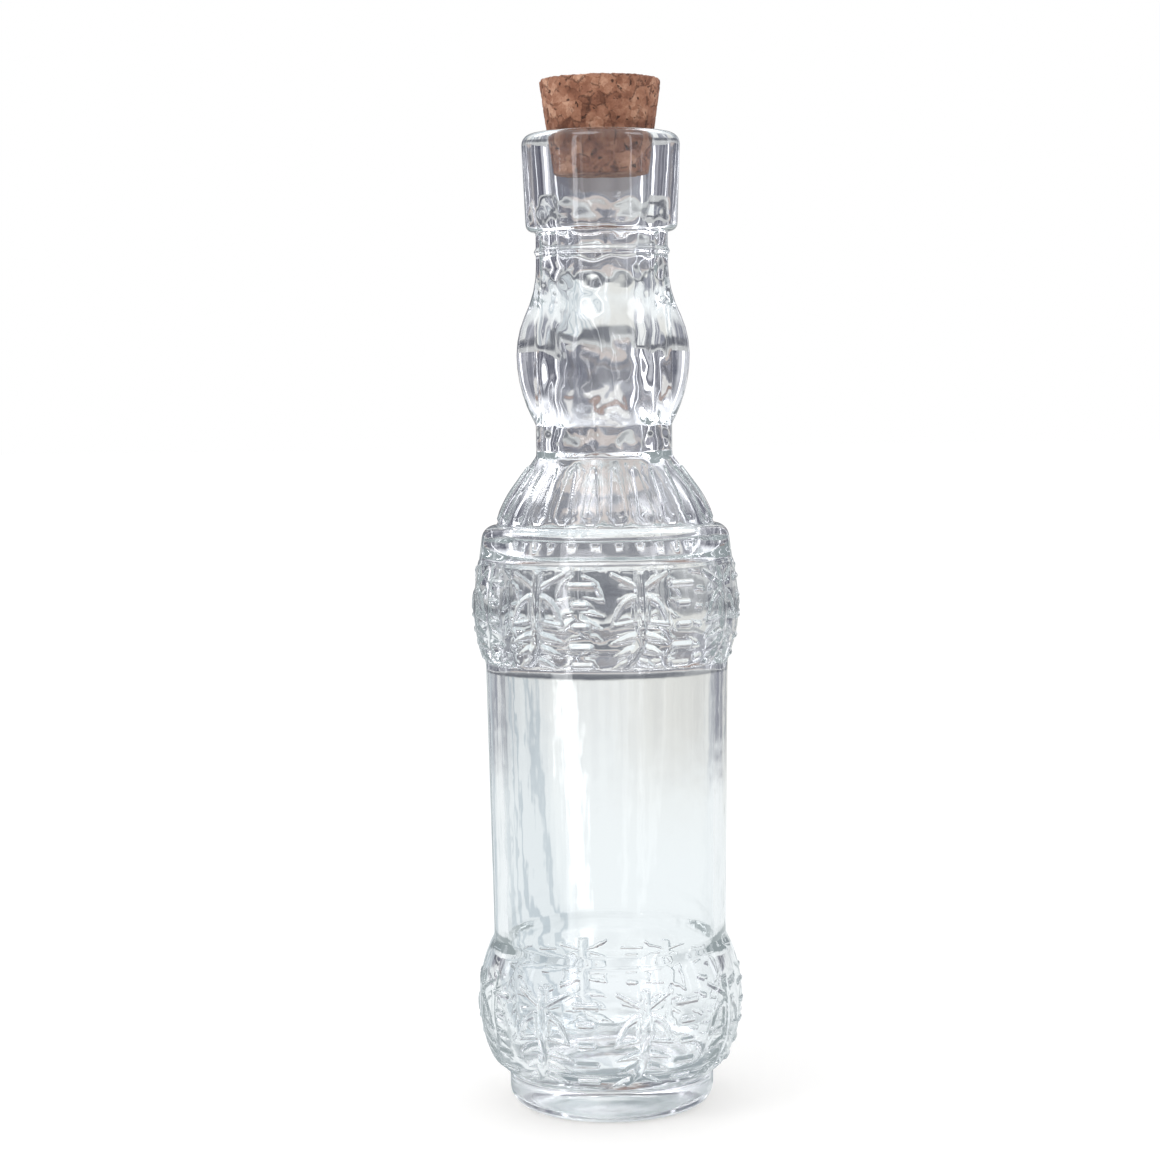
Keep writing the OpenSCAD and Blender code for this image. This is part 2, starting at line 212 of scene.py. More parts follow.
def outsideLine(g):
    underX = (g["bandR"] - g["underR"]) * math.cos(math.radians(g["underTurn"]))
    underZ = g["lowerBandZ"] - (g["bandR"] - g["underR"]) * math.sin(math.radians(g["underTurn"]))
    heelX = g["footR"] - g["heelR"]
    brow = math.radians(g["browTurn"])
    cornerZ = g["ledgeZ"] - g["cornerR"]
    collarEdge = browEdge(g, g["bandR"], g["collarZ"])
    collarR = collarEdge - g["collarStep"]
    cornerX = collarR - math.tan(brow) * (cornerZ - g["collarZ"]) - g["cornerR"] / math.cos(brow)
    domeZ = g["ledgeZ"] - g["domeDrop"]
    neckZ = slopeEnd(domeZ, g["domeR"], g["domeTurn"], g["neckR"])
    bulgeFoot = neckZ + g["neckH"]
    bulgeZ = bulgeFoot + math.sqrt(g["bellyR"] ** 2 - (g["bellyR"] - g["bulgeR"] + g["neckR"]) ** 2)
    upperZ = bulgeZ + g["bulgeOver"]
    turn = 2 * math.atan((g["bulgeR"] - g["upperNeckR"]) / g["bulgeOver"])
    hollowR = g["bulgeOver"] / math.sin(turn) - g["browR"]
    ringZ = upperZ + g["upperNeckH"]
    threadZ = ringZ - g["threadDrop"]
    lipZ = ringZ + g["ringH"]
    underStart = degAsin((g["footR"] - underX) / g["underR"]) - 90
    line = capPoints(heelX - g["restW"], 0, g["pushupH"])
    line += [(heelX - g["restW"], 0), (heelX, 0)]
    line += arcPoints(heelX, g["heelR"], g["heelR"], -90, 0)
    line += arcPoints(underX, underZ, g["underR"], underStart, -g["underTurn"])
    line += arcPoints(0, g["lowerBandZ"], g["bandR"], -g["underTurn"],
                      degAsin((g["lowerBandTop"] - g["lowerBandZ"]) / g["bandR"]))
    line += [(g["bodyLowR"], g["lowerBandTop"]), (g["bodyTopR"], g["upperBandLow"])]
    line += arcPoints(0, g["upperBandZ"], g["bandR"],
                      -degAsin((g["upperBandZ"] - g["upperBandLow"]) / g["bandR"]), g["browTurn"])
    line += [(collarEdge, g["collarZ"]), (collarR, g["collarZ"])]
    line += arcPoints(cornerX, cornerZ, g["cornerR"], g["browTurn"], 90)
    line += arcPoints(0, domeZ, g["domeR"], degAsin(g["domeDrop"] / g["domeR"]), g["domeTurn"])
    line += [(g["neckR"], neckZ), (g["neckR"], bulgeFoot)]
    line += arcPoints(g["bulgeR"] - g["bellyR"], bulgeZ, g["bellyR"],
                      -degAsin((bulgeZ - bulgeFoot) / g["bellyR"]), 0)
    line += arcPoints(g["bulgeR"] - g["browR"], bulgeZ, g["browR"], 0, math.degrees(turn))
    line += arcPoints(g["upperNeckR"] + hollowR, upperZ, hollowR, 180 + math.degrees(turn), 180)
    line += arcPoints(g["upperNeckR"], threadZ, g["threadR"], -90, 90)
    line += [(g["upperNeckR"], ringZ)]
    line += arcPoints(g["ringLowR"] - g["ringEdgeR"], ringZ + g["ringEdgeR"], g["ringEdgeR"], -90, 0)
    line += arcPoints(g["ringR"] - g["lipR"], lipZ - g["lipR"], g["lipR"], 0, 90)
    line += arcPoints(g["mouthR"] + g["lipInnerR"], lipZ - g["lipInnerR"], g["lipInnerR"], 90, 180)
    return line, {"lipZ": lipZ, "domeZ": domeZ, "underX": underX, "underZ": underZ}


def insideLine(g, at):
    seatZ = at["lipZ"] - g["seatUnder"]
    domeR = g["domeR"] - g["domeWall"]
    bandR = g["bandR"] - g["bandWall"]
    underR = g["underR"] - g["bandWall"]
    lowR, topR = g["bodyLowR"] - g["bodyWall"], g["bodyTopR"] - g["bodyWall"]
    floorX = at["underX"] + math.sqrt(underR ** 2 - (g["baseT"] - at["underZ"]) ** 2)
    line = [(g["seatLowR"], seatZ), (g["boreR"], seatZ - g["seatFade"])]
    line += [(g["boreR"], slopeEnd(at["domeZ"], domeR, g["domeTurn"], g["boreR"]))]
    line += arcPoints(0, at["domeZ"], domeR, g["domeTurn"], degAsin(g["domeDrop"] / domeR))
    line += [(browEdge(g, bandR, g["collarZ"]), g["collarZ"])]
    line += arcPoints(0, g["upperBandZ"], bandR, g["browTurn"], -math.degrees(math.acos(topR / bandR)))
    line += [(topR, g["upperBandLow"]), (lowR, g["lowerBandTop"])]
    line += arcPoints(0, g["lowerBandZ"], bandR, math.degrees(math.acos(lowR / bandR)), -g["underTurn"])
    line += arcPoints(at["underX"], at["underZ"], underR, -g["underTurn"],
                      degAsin((g["baseT"] - at["underZ"]) / underR))
    line += capPoints(floorX, g["baseT"], g["floorRise"])[::-1]
    return line


# A smooth outline: even steps, corners rounded off, with the length and the tangent at each step.
class Outline:
    def __init__(self, points, softness, softer=(), softerBy=2.2, step=0.05):
        points = np.array(points)
        keep = np.r_[True, np.hypot(*np.diff(points, axis=0).T) > 1e-6]
        points = points[keep]
        length = np.r_[0, np.cumsum(np.hypot(*np.diff(points, axis=0).T))]
        even = np.linspace(0, length[-1], int(length[-1] / step))
        line = np.stack([np.interp(even, length, points[:, k]) for k in (0, 1)], axis=1)
        line = self.rounded(line, softness / step)
        soft = self.rounded(line, softerBy * softness / step)
        for height, reach in softer:        # in full to half its reach, and fading out past that
            share = np.clip(1.5 - np.abs(line[:, 1] - height) / reach, 0, 1)[:, None]
            line = line + (soft - line) * share * share * (3 - 2 * share)
        self.line = line
        self.s = np.r_[0, np.cumsum(np.hypot(*np.diff(line, axis=0).T))]
        tangent = np.gradient(line, self.s, axis=0)
        self.tangent = tangent / np.hypot(*tangent.T)[:, None]

    def rounded(self, line, steps):
        reach = int(4 * steps)
        weights = np.exp(-0.5 * (np.arange(-reach, reach + 1) / steps) ** 2)
        mirror = np.array([-1, 1])          # across the axis, where both ends lie
        padded = np.concatenate([line[reach:0:-1] * mirror, line, line[-2:-reach - 2:-1] * mirror])
        weights /= weights.sum()
        line = np.stack([np.convolve(padded[:, k], weights, "valid") for k in (0, 1)], axis=1)
        line[0, 0] = line[-1, 0] = 0
        return line

    def at(self, s):                        # radius and height
        return [np.interp(s, self.s, self.line[:, k]) for k in (0, 1)]

    def along(self, s):
        t = [np.interp(s, self.s, self.tangent[:, k]) for k in (0, 1)]
        size = np.hypot(*t)
        return t[0] / size, t[1] / size

    def lengthAt(self, z, after=0.0):       # first place past after where the outline crosses height z
        side = (self.line[:, 1] > z).astype(int)
        crossing = np.nonzero((np.diff(side) != 0) & (self.s[1:] > after))[0][0]
        return self.s[crossing + 1]

    def rows(self, start, end, longStep, turnStep):
        inside = (self.s >= start) & (self.s <= end)
        s = self.s[inside]
        angle = np.unwrap(np.arctan2(self.tangent[inside, 1], self.tangent[inside, 0]))
        turning = np.abs(np.gradient(angle, s))
        pace = np.maximum(1 / longStep, turning / math.radians(turnStep))
        count = np.r_[0, np.cumsum((pace[1:] + pace[:-1]) / 2 * np.diff(s))]
        return np.interp(np.linspace(0, count[-1], math.ceil(count[-1]) + 1), count, s)


# Ornament: the same sprig all round both bands, stacks of bars between, flutes on the dome.
relief = {
    "height": 0.34, "edge": 0.44, "fluteEdge": 0.28, "blur": 0.06, "grid": 0.05,
    "sprigs": 8, "sprigTurn": -30.5, "barsTurn": 19.75, "seamTurn": -16.1,
    "lowerSprigZ": 15.2, "upperSprigZ": 83.2,
    "zones": ((6.4, 27.2), (75.6, 91.75), (98.25, 108.9)),      # heights between which there is ornament
    # points of the mesh: lines at these distances inside an edge, then spacings there, between and at seams
    "levels": (-0.08, 0.08, 0.23, 0.4), "spacing": 0.31, "openSpacing": 0.85, "seamSpacing": 0.8,
    "stemHalf": 1.0, "barH": 1.2,
    "bars": ((6, 5.2), (2.9, 3.4), (-0.5, 3.4), (-3.9, 4.4), (-6.9, 4.2)),
    "fluteLow": 98.6, "fluteTop": 107.96, "fluteLowW": 2.9, "fluteTopW": 1.2, "flutesEach": 3,
}


def lowLeaf(root, length, drop, shift=0.0):
    points = [(0.5, root), (length * 0.45, root - drop * 0.2), (length, root - drop),
              (length * 0.5, root - drop * 0.2 - 1.5), (0.5, root - 1.6)]
    return [(x + shift, z) for x, z in points]


def mirrored(points):
    return [(-x, z) for x, z in points][::-1]


def sprigShapes(h):
    stem = [(-h, 8.6), (-h, -1.5), (-h - 0.5, -4), (-h - 2.2, -7.7), (-h - 1.3, -8),
            (-h + 0.6, -6.3), (h + 0.1, -3), (h, -1), (h, 8.6)]
    twig = [(0.5, 4.9), (4.9, 7.6), (4.6, 8.3), (0.5, 6.2)]
    leaf = [(0.5, 4.8), (1.7, 4.7), (3, 3.8), (4.1, 2.4), (5.1, -0.9), (0.5, -0.1)]
    hole = [(1.6, 3.2), (2.7, 2.5), (4, 0.2), (1.6, 0.6)]
    shapes = [(stem, None)]
    for flip in (list, mirrored):
        shapes += [(flip(twig), None), (flip(leaf), flip(hole)),
                   (flip(lowLeaf(-1.2, 5.3, 2.2)), None), (flip(lowLeaf(-3.3, 4.9, 2.4)), None)]
    shapes += [(lowLeaf(-5.4, 5, 2.6, -0.9), None), (mirrored(lowLeaf(-5.6, 4.2, 2.8, 1.3)), None)]
    return shapes


def barShapes(bars, barH):
    shapes = []
    for z, width in bars:
        half, h = width / 2, barH / 2
        flat = half - barH / 3
        bar = [(-half, z), (-flat, z - h), (flat, z - h), (half, z), (flat, z + h), (-flat, z + h)]
        shapes.append((bar, None))
    return shapes


def fluteShapes(n):
    low, top = n["fluteLowW"] / 2, n["fluteTopW"] / 2
    turnZ, endZ = n["fluteLow"] + low * 0.7, n["fluteTop"] - top
    return [([(-low / 2, n["fluteLow"]), (low / 2, n["fluteLow"]), (low, turnZ), (top, endZ),
              (0, n["fluteTop"]), (-top, endZ), (-low, turnZ)], None)]


def insideDistance(points, x, z):           # distance to a polygon's edge, positive inside
    ends = np.roll(points, -1, axis=0)
    nearest = np.full(x.shape, 1e9)
    inside = np.zeros(x.shape, bool)
    for (ax, az), (bx, bz) in zip(points, ends):
        dx, dz = bx - ax, bz - az
        t = np.clip(((x - ax) * dx + (z - az) * dz) / (dx * dx + dz * dz), 0, 1)
        nearest = np.minimum(nearest, np.hypot(x - ax - t * dx, z - az - t * dz))
        if az != bz:
            inside ^= ((az > z) != (bz > z)) & (x < dx * (z - az) / dz + ax)
    return np.where(inside, nearest, -nearest)


def softMax(a, b, k=0.2):
    h = np.clip(0.5 + 0.5 * (a - b) / k, 0, 1)
    return b + (a - b) * h + k * h * (1 - h)


# The height of a drawing above the glass, on a fine grid about its own datum.
class Drawing:
    def __init__(self, shapes, n, edge):
        corners = np.array([p for shape, _ in shapes for p in shape])
        self.low = corners.min(0) - 1
        self.high = corners.max(0) + 1
        self.grid = n["grid"]
        size = np.ceil((self.high - self.low) / self.grid).astype(int) + 1
        x, z = np.meshgrid(self.low[0] + self.grid * np.arange(size[0]),
                           self.low[1] + self.grid * np.arange(size[1]), indexing="ij")
        distance = np.full(x.shape, -9.0)
        for shape, hole in shapes:
            one = insideDistance(np.array(shape, float), x, z)
            if hole:
                one = -softMax(-one, insideDistance(np.array(hole, float), x, z))
            distance = softMax(distance, one)
        self.distance = distance
        rise = np.clip(distance / edge, 0, 1)
        height = rise * rise * (3 - 2 * rise) * n["height"]
        reach = int(3 * n["blur"] / self.grid) + 1
        weights = np.exp(-0.5 * (np.arange(-reach, reach + 1) * self.grid / n["blur"]) ** 2)
        weights /= weights.sum()
        for axis in (0, 1):
            height = np.apply_along_axis(lambda row: np.convolve(row, weights, "same"), axis, height)
        self.height = height
        self.slopes = np.gradient(height, self.grid)
        self.x, self.z = x, z

    def look(self, field, x, z):
        u = np.clip((x - self.low[0]) / self.grid, 0, field.shape[0] - 1.001)
        v = np.clip((z - self.low[1]) / self.grid, 0, field.shape[1] - 1.001)
        i, j = u.astype(int), v.astype(int)
        a, b = u - i, v - j
        return ((1 - a) * (1 - b) * field[i, j] + a * (1 - b) * field[i + 1, j]
                + (1 - a) * b * field[i, j + 1] + a * b * field[i + 1, j + 1])

    def contour(self, level, spacing):      # points along the line at this distance inside the edge
        dx, dz = np.gradient(self.distance, self.grid)
        near = np.abs(self.distance - level) < self.grid * 0.8
        near &= np.hypot(dx, dz) > 0.6      # not on a ridge between two edges
        off = (self.distance - level)[near]
        size = np.hypot(dx, dz)[near]
        x = self.x[near] - off * dx[near] / size ** 2
        z = self.z[near] - off * dz[near] / size ** 2
        return thinned(np.stack([x, z], axis=1), spacing)


def thinned(points, spacing):               # keeps points that lie at least spacing apart
    cells, kept = {}, []
    for x, z in points.tolist():
        i, j = int(x // spacing), int(z // spacing)
        near = (q for a in (-1, 0, 1) for b in (-1, 0, 1) for q in cells.get((i + a, j + b), ()))
        if all((q[0] - x) ** 2 + (q[1] - z) ** 2 >= spacing * spacing for q in near):
            cells.setdefault((i, j), []).append((x, z))
            kept.append((x, z))
    return np.array(kept)


# One ornamented stretch of the outline. Its mesh is made for one sprig's share of the circle and repeated.
class Zone:
    def __init__(self, outline, start, end, placed, n, columns):
        self.outline, self.start, self.end, self.placed = outline, start, end, placed
        self.perSector = columns // n["sprigs"]
        self.low = math.radians(n["seamTurn"])
        self.turn = 2 * math.pi / n["sprigs"]
        s = np.linspace(start, end, 400)
        r, z = outline.at(s)
        self.meanR = float(r.mean())
        self.build(n, s, r, z)

    def relief(self, angle, s):             # height and its slopes round the circle and along the outline
        r, z = self.outline.at(s)
        tr, tz = self.outline.along(s)
        total, around, up = np.zeros_like(s), np.zeros_like(s), np.zeros_like(s)
        for drawing, turn, datum in self.placed:
            off = angle - turn
            x = r * np.sin(off)
            total += drawing.look(drawing.height, x, z - datum)
            sx = drawing.look(drawing.slopes[0], x, z - datum)
            sz = drawing.look(drawing.slopes[1], x, z - datum)
            around += sx * np.cos(off)
            up += sz * tz + sx * np.sin(off) * tr
        return total, around, up

    def build(self, n, s, r, z):
        points = []
        for drawing, turn, datum in self.placed:
            for level in n["levels"]:
                found = drawing.contour(level, n["spacing"])
                if len(found):
                    at = np.interp(found[:, 1] + datum, z, s)
                    angle = turn + np.arcsin(found[:, 0] / np.interp(at, s, r))
                    points.append(np.stack([angle * self.meanR, at], axis=1))
        points = np.concatenate(points)
        a0, a1 = self.low * self.meanR, (self.low + self.turn) * self.meanR
        gap = n["spacing"] * 0.7
        fits = ((points[:, 0] > a0 + gap) & (points[:, 0] < a1 - gap)
                & (points[:, 1] > self.start + gap) & (points[:, 1] < self.end - gap))
        points = thinned(points[fits], n["spacing"] * 0.55)
        wide = n["openSpacing"]             # equal triangles where the glass is plain
        rows = np.arange(self.start + wide * 0.6, self.end - wide * 0.4, wide * 0.866)
        between = np.array([(a, row) for k, row in enumerate(rows)
                            for a in np.arange(a0 + wide * (0.5 + 0.5 * (k % 2)), a1 - wide * 0.35, wide)])
        tree = kdtree.KDTree(len(points))
        for i, p in enumerate(points):
            tree.insert((*p, 0), i)
        tree.balance()
        far = [tree.find((*p, 0))[2] > wide * 0.55 for p in between]
        inner = np.concatenate([points, between[far]])
        across = np.linspace(a0, a1, self.perSector + 1)
        steps = round((self.end - self.start) / n["seamSpacing"])
        self.seam = np.linspace(self.start, self.end, steps + 1)[1:-1]
        edge = ([(a, self.start) for a in across] + [(a, self.end) for a in across]
                + [(a0, q) for q in self.seam] + [(a1, q) for q in self.seam])
        self.flat = np.array(edge + inner.tolist())
        out = geometry.delaunay_2d_cdt([Vector(p) for p in self.flat], [], [], 0, 1e-6)
        back = [ids[0] for ids in out[3]]
        self.triangles = [[back[i] for i in face] for face in out[2]]
        self.innerCount = len(inner)


def glassMesh(g, n):
    outside, at = outsideLine(g)
    softer = zip((g["lowerBandTop"], g["upperBandLow"]), g["softerReach"])
    outline = Outline(outside + insideLine(g, at), g["softness"], softer)
    sprig = Drawing(sprigShapes(n["stemHalf"]), n, n["edge"])
    bars = Drawing(barShapes(n["bars"], n["barH"]), n, n["edge"])
    flute = Drawing(fluteShapes(n), n, n["fluteEdge"])
    third = 2 * math.pi / n["sprigs"] / n["flutesEach"]
    barsTurn = math.radians(n["barsTurn"])
    drawings = [
        [(sprig, 0, n["lowerSprigZ"]), (bars, barsTurn, n["lowerSprigZ"])],
        [(sprig, 0, n["upperSprigZ"]), (bars, barsTurn, n["upperSprigZ"])],
        [(flute, (k - 0.5) * third, 0) for k in range(n["flutesEach"])],
    ]
    zones, end = [], 0.0
    for (low, high), placed in zip(n["zones"], drawings):
        start = outline.lengthAt(low, end)
        end = outline.lengthAt(high, start)
        zones.append(Zone(outline, start, end, placed, n, g["columns"]))
    firstTurn = math.radians(n["sprigTurn"] - 90)
    inner = outline.lengthAt(at["lipZ"] - 0.02, end) + g["lipTurn"]
    swell = blownWaves(g)
    points, normals, faces = [], [], []

    def place(angle, s, height=0.0, around=0.0, up=0.0):
        r, z = outline.at(s)
        tr, tz = outline.along(s)
        nr, nz = tz, -tr
        if s[0] > inner:
            height, around, up = uneven(angle, s)
        r, z = r + nr * height, z + nz * height
        turn = angle + firstTurn
        cos, sin = np.cos(turn), np.sin(turn)
        radial = nr - up * tr
        normal = np.stack([radial * cos + around * sin, radial * sin - around * cos, nz - up * tz], axis=1)
        start = sum(len(p) for p in points)
        points.append(np.stack([r * cos, r * sin, z], axis=1))
        normals.append(normal / np.linalg.norm(normal, axis=1)[:, None])
        return start + np.arange(len(s))

    def uneven(angle, s):                   # height of the unevenness, and its slopes
        r, z = outline.at(s)
        tr, tz = outline.along(s)
        height = swell(angle, r, z)
        around = (swell(angle + 0.01, r, z) - height) / (0.01 * np.maximum(r, 0.5))
        up = (swell(angle, r + 0.1 * tr, z + 0.1 * tz) - height) / 0.1
        return height, around, up

    def ring(s):
        angle = math.radians(n["seamTurn"]) + 2 * math.pi * np.arange(g["columns"]) / g["columns"]
        return place(angle, np.full(g["columns"], s))

    def strip(low, high):
        for j in range(len(low)):
            k = (j + 1) % len(low)
            faces.append((low[j], low[k], high[k], high[j]))

    def plain(start, end, first=None, longStep=g["longStep"]):
        rows = outline.rows(start, end, longStep, g["turnStep"])
        last = first if first is not None else ring(rows[0])
        bottom = last
        for s in rows[1:]:
            following = ring(s)
            strip(last, following)
            last = following
        return bottom, last

    def fill(zone, low, high):
        seams = [place(np.full(len(zone.seam), zone.low + k * zone.turn), zone.seam)
                 for k in range(n["sprigs"])]
        flat = zone.flat[-zone.innerCount:]
        angle, s = flat[:, 0] / zone.meanR, flat[:, 1]
        height, around, up = zone.relief(angle, s)
        for k in range(n["sprigs"]):
            across = [(k * zone.perSector + i) % len(low) for i in range(zone.perSector + 1)]
            sides = [seams[k], seams[(k + 1) % n["sprigs"]]]
            between = place(angle + k * zone.turn, s, height, around, up)
            ids = np.concatenate([low[across], high[across], *sides, between])
            faces.extend(tuple(ids[list(f)]) for f in zone.triangles)

    bottom, last = plain(g["axisGap"], zones[0].start)
    centre = place(np.zeros(1), np.zeros(1))[0]
    for j in range(len(bottom)):
        faces.append((centre, bottom[(j + 1) % len(bottom)], bottom[j]))
    for zone, end in zip(zones, [zones[1].start, zones[2].start, inner]):
        top = ring(zone.end)
        fill(zone, last, top)
        _, last = plain(zone.end, end, top)
    _, last = plain(inner, outline.s[-1] - g["floorGap"], last, g["innerStep"])
    centre = place(np.zeros(1), outline.s[-1:])[0]
    for j in range(len(last)):
        faces.append((centre, last[j], last[(j + 1) % len(last)]))
    return np.concatenate(points), np.concatenate(normals), faces


# Ribs and dents on the inside of the blown glass. They fade out at the axis and below the cork.
def blownWaves(g):
    def phase():
        return random.uniform(0, 6.3)

    waves = [(k + 2, g["waveSize"] / math.sqrt(k + 2), phase(), random.uniform(*g["wavePace"]), phase())
             for k in range(g["waves"])]
    dents = [(random.randint(*g["dentsRound"]), phase(), random.uniform(*g["dentPace"]), phase())
             for k in range(g["dents"])]

    def swell(angle, r, z):
        total = 0 * r
        sway = np.clip(z / 100 - 0.55, 0.15, 0.9)       # the ribs wander more towards the top
        for count, size, turn, pace, start in waves:
            drift = sway * np.sin(pace * z / g["waveLength"] * 2 + start)
            total = total + size * np.sin(count * angle + turn + drift)
        fine = 0 * r
        for count, turn, pace, start in dents:
            fine = fine + np.sin(count * angle + turn) * np.sin(pace * z + start)
        neck = np.clip((z - g["neckFrom"]) / g["neckFade"], 0, 1)
        total = total * (g["bodyWave"] + (g["neckWave"] - g["bodyWave"]) * neck)
        total = total + fine * 0.5 * g["neckDent"] * neck
        even = np.clip((g["evenTo"] - z) / (g["evenTo"] - g["evenFrom"]), 0, 1)
        return total * even * np.clip(r / g["evenR"], 0, 1) ** 2
    return swell


def addMesh(name, points, faces, material):
    mesh = bpy.data.meshes.new(name)
    mesh.from_pydata(points, [], faces)
    mesh.materials.append(material)
    piece = bpy.data.objects.new(name, mesh)
    bpy.context.scene.collection.objects.link(piece)
    return piece


def smoothMesh(name, points, faces, material, normals=None):        # from points in mm
    piece = addMesh(name, (points * mm).tolist(), faces, material)
    piece.data.polygons.foreach_set("use_smooth", [True] * len(piece.data.polygons))
    if normals is not None:
        piece.data.normals_split_custom_set_from_vertices(normals.tolist())
    piece.data.validate()
    return piece


# Faces of a closed skin: a point at the low end, rings of points, a point at the high end.
def skinFaces(columns, rings):
    top = 1 + rings * columns
    faces = []
    for k in range(columns):
        following = (k + 1) % columns
        faces.append((0, 1 + following, 1 + k))
        faces.append((top, top - columns + k, top - columns + following))
        for ring in range(rings - 1):
            a = 1 + ring * columns
            faces.append((a + k, a + following, a + columns + following, a + columns + k))
    return faces


def clearGlass(g):
    material, tree = newMaterial("clearGlass")
    place = tree.make("ShaderNodeTexCoord", out=3)
    ripple = tree.mottle(place, g["rippleScale"], 1.5)
    drawn = tree.make("ShaderNodeMapping", None, {"Vector": place, "Scale": g["drawnScale"]})
    streak = tree.mottle(drawn, 1.0, 2.0)
    bump = tree.make("ShaderNodeBump", None, {
        "Height": ripple + streak * 0.5, "Strength": 1.0, "Distance": g["rippleDepth"] * mm})
    haze = tree.mottle(place, g["hazeScale"])
    height = tree.make("ShaderNodeSeparateXYZ", None, {"Vector": place}, out=2)
    stipple = 1 - tree.step(height, g["mattFrom"] * mm, g["mattTo"] * mm)
    dull = tree.step(haze, 0.4, 0.8) * g["haze"] + stipple * g["matt"]
    # a faint grey for light that stays shut in at the corners of the glass
    shutIn = tree.make("ShaderNodeLightPath", out="Glossy Depth") > g["shutInAfter"]
    faint = tree.mix(shutIn, (0.0, 0.0, 0.0), g["shutInTone"])
    shader = tree.make("ShaderNodeBsdfPrincipled", None, {
        "Base Color": g["tint"], "Roughness": dull, "IOR": g["ior"], "Transmission Weight": 1.0,
        "Normal": bump, "Emission Color": faint, "Emission Strength": g["shutInGlow"]})
    tree.make("ShaderNodeOutputMaterial", None, {"Surface": shader})
    return material


points, normals, faces = glassMesh(glass, relief)
bottle = smoothMesh("glassBottle", points, faces, clearGlass(glass), normals)
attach(bottle, "bottle")
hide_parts("bottle")
triangles = sum(len(p.vertices) - 2 for p in bottle.data.polygons)
print("glass bottle made,", triangles, "triangles")


# The cork: pressed granules, a crumbly rim and small pits, all within the CAD cork.
cork = {
    "lowZ": 155.381, "length": 16.0, "topR": 10.1, "lowR": 7.9, "rim": 0.35,
    "softness": 0.12, "columns": 210, "step": 0.24,
    # wear: granules with seams between them, pits in most of the cells, crumbs off the top rim
    "warp": 0.5, "lump": 0.1, "lumpSize": 1.7, "seamWidth": 0.22, "swell": 0.05, "swellPace": 1.9,
    "pit": 0.42, "pitSize": 2.3, "pitWidth": 0.3, "pitless": 0.1, "crumb": 0.3, "crumbSize": 0.9,
    "rimReach": 0.5,
    # the material: how fine each pattern is, its tones from dark to pale, and its depth
    "bendScale": 620.0, "bend": 1.1, "chipScale": 400.0, "crumbScale": 900.0, "grainScale": 2600.0,
    "patchScale": 330.0, "gapScale": 800.0, "poreScale": 950.0,
    "tones": ((0.1, (0.05, 0.019, 0.011)), (0.3, (0.14, 0.052, 0.028)), (0.5, (0.24, 0.098, 0.056)),
              (0.72, (0.35, 0.167, 0.102)), (0.95, (0.54, 0.31, 0.21))),
    "seamTone": (0.06, 0.024, 0.015), "poreTone": (0.035, 0.014, 0.009), "depth": 0.09,
}


def corkLine(c):
    lowZ, topZ = c["lowZ"], c["lowZ"] + c["length"]
    corners = [(0, lowZ), (c["lowR"] - c["rim"], lowZ), (c["lowR"], lowZ + c["rim"]),
               (c["topR"], topZ - c["rim"]), (c["topR"] - c["rim"], topZ), (0, topZ)]
    return Outline(corners, c["softness"])


def corkWear(c, x, y, z, rimNear):          # how far the surface has gone in at a point
    p = Vector((x, y, z))
    p += noise.noise_vector(p * 0.8) * c["warp"]
    near, _ = noise.voronoi(p / c["lumpSize"])
    flat = min(1, (near[1] - near[0]) / c["seamWidth"])
    wear = c["lump"] * (1 - flat) + c["swell"] * (0.5 + 0.5 * noise.noise(p * c["swellPace"]))
    far, spots = noise.voronoi(p / c["pitSize"] + Vector((40, 0, 0)))
    if noise.cell(spots[0] * 7) > c["pitless"]:
        wear += c["pit"] * max(0, 1 - far[0] / c["pitWidth"])
    crumb = 0.5 + noise.noise(p / c["crumbSize"])
    return wear + c["crumb"] * rimNear * max(0, crumb)


def corkMesh(c):
    outline = corkLine(c)
    rows = outline.rows(0.2, outline.s[-1] - 0.2, c["step"], 40)
    topZ = c["lowZ"] + c["length"]
    points = [(0, 0, c["lowZ"] + 0.05)]
    for s in rows:
        (r, z), (tr, tz) = outline.at(s), outline.along(s)
        rimNear = math.exp(-((r - c["topR"]) ** 2 + (z - topZ) ** 2) / c["rimReach"])
        for k in range(c["columns"]):
            turn = 2 * math.pi * k / c["columns"]
            cos, sin = math.cos(turn), math.sin(turn)
            wear = corkWear(c, r * cos, r * sin, z, rimNear) * min(1, r / 2)
            points.append(((r - tz * wear) * cos, (r - tz * wear) * sin, z + tr * wear))
    points.append((0, 0, topZ - 0.05))
    return np.array(points), skinFaces(c["columns"], len(rows))


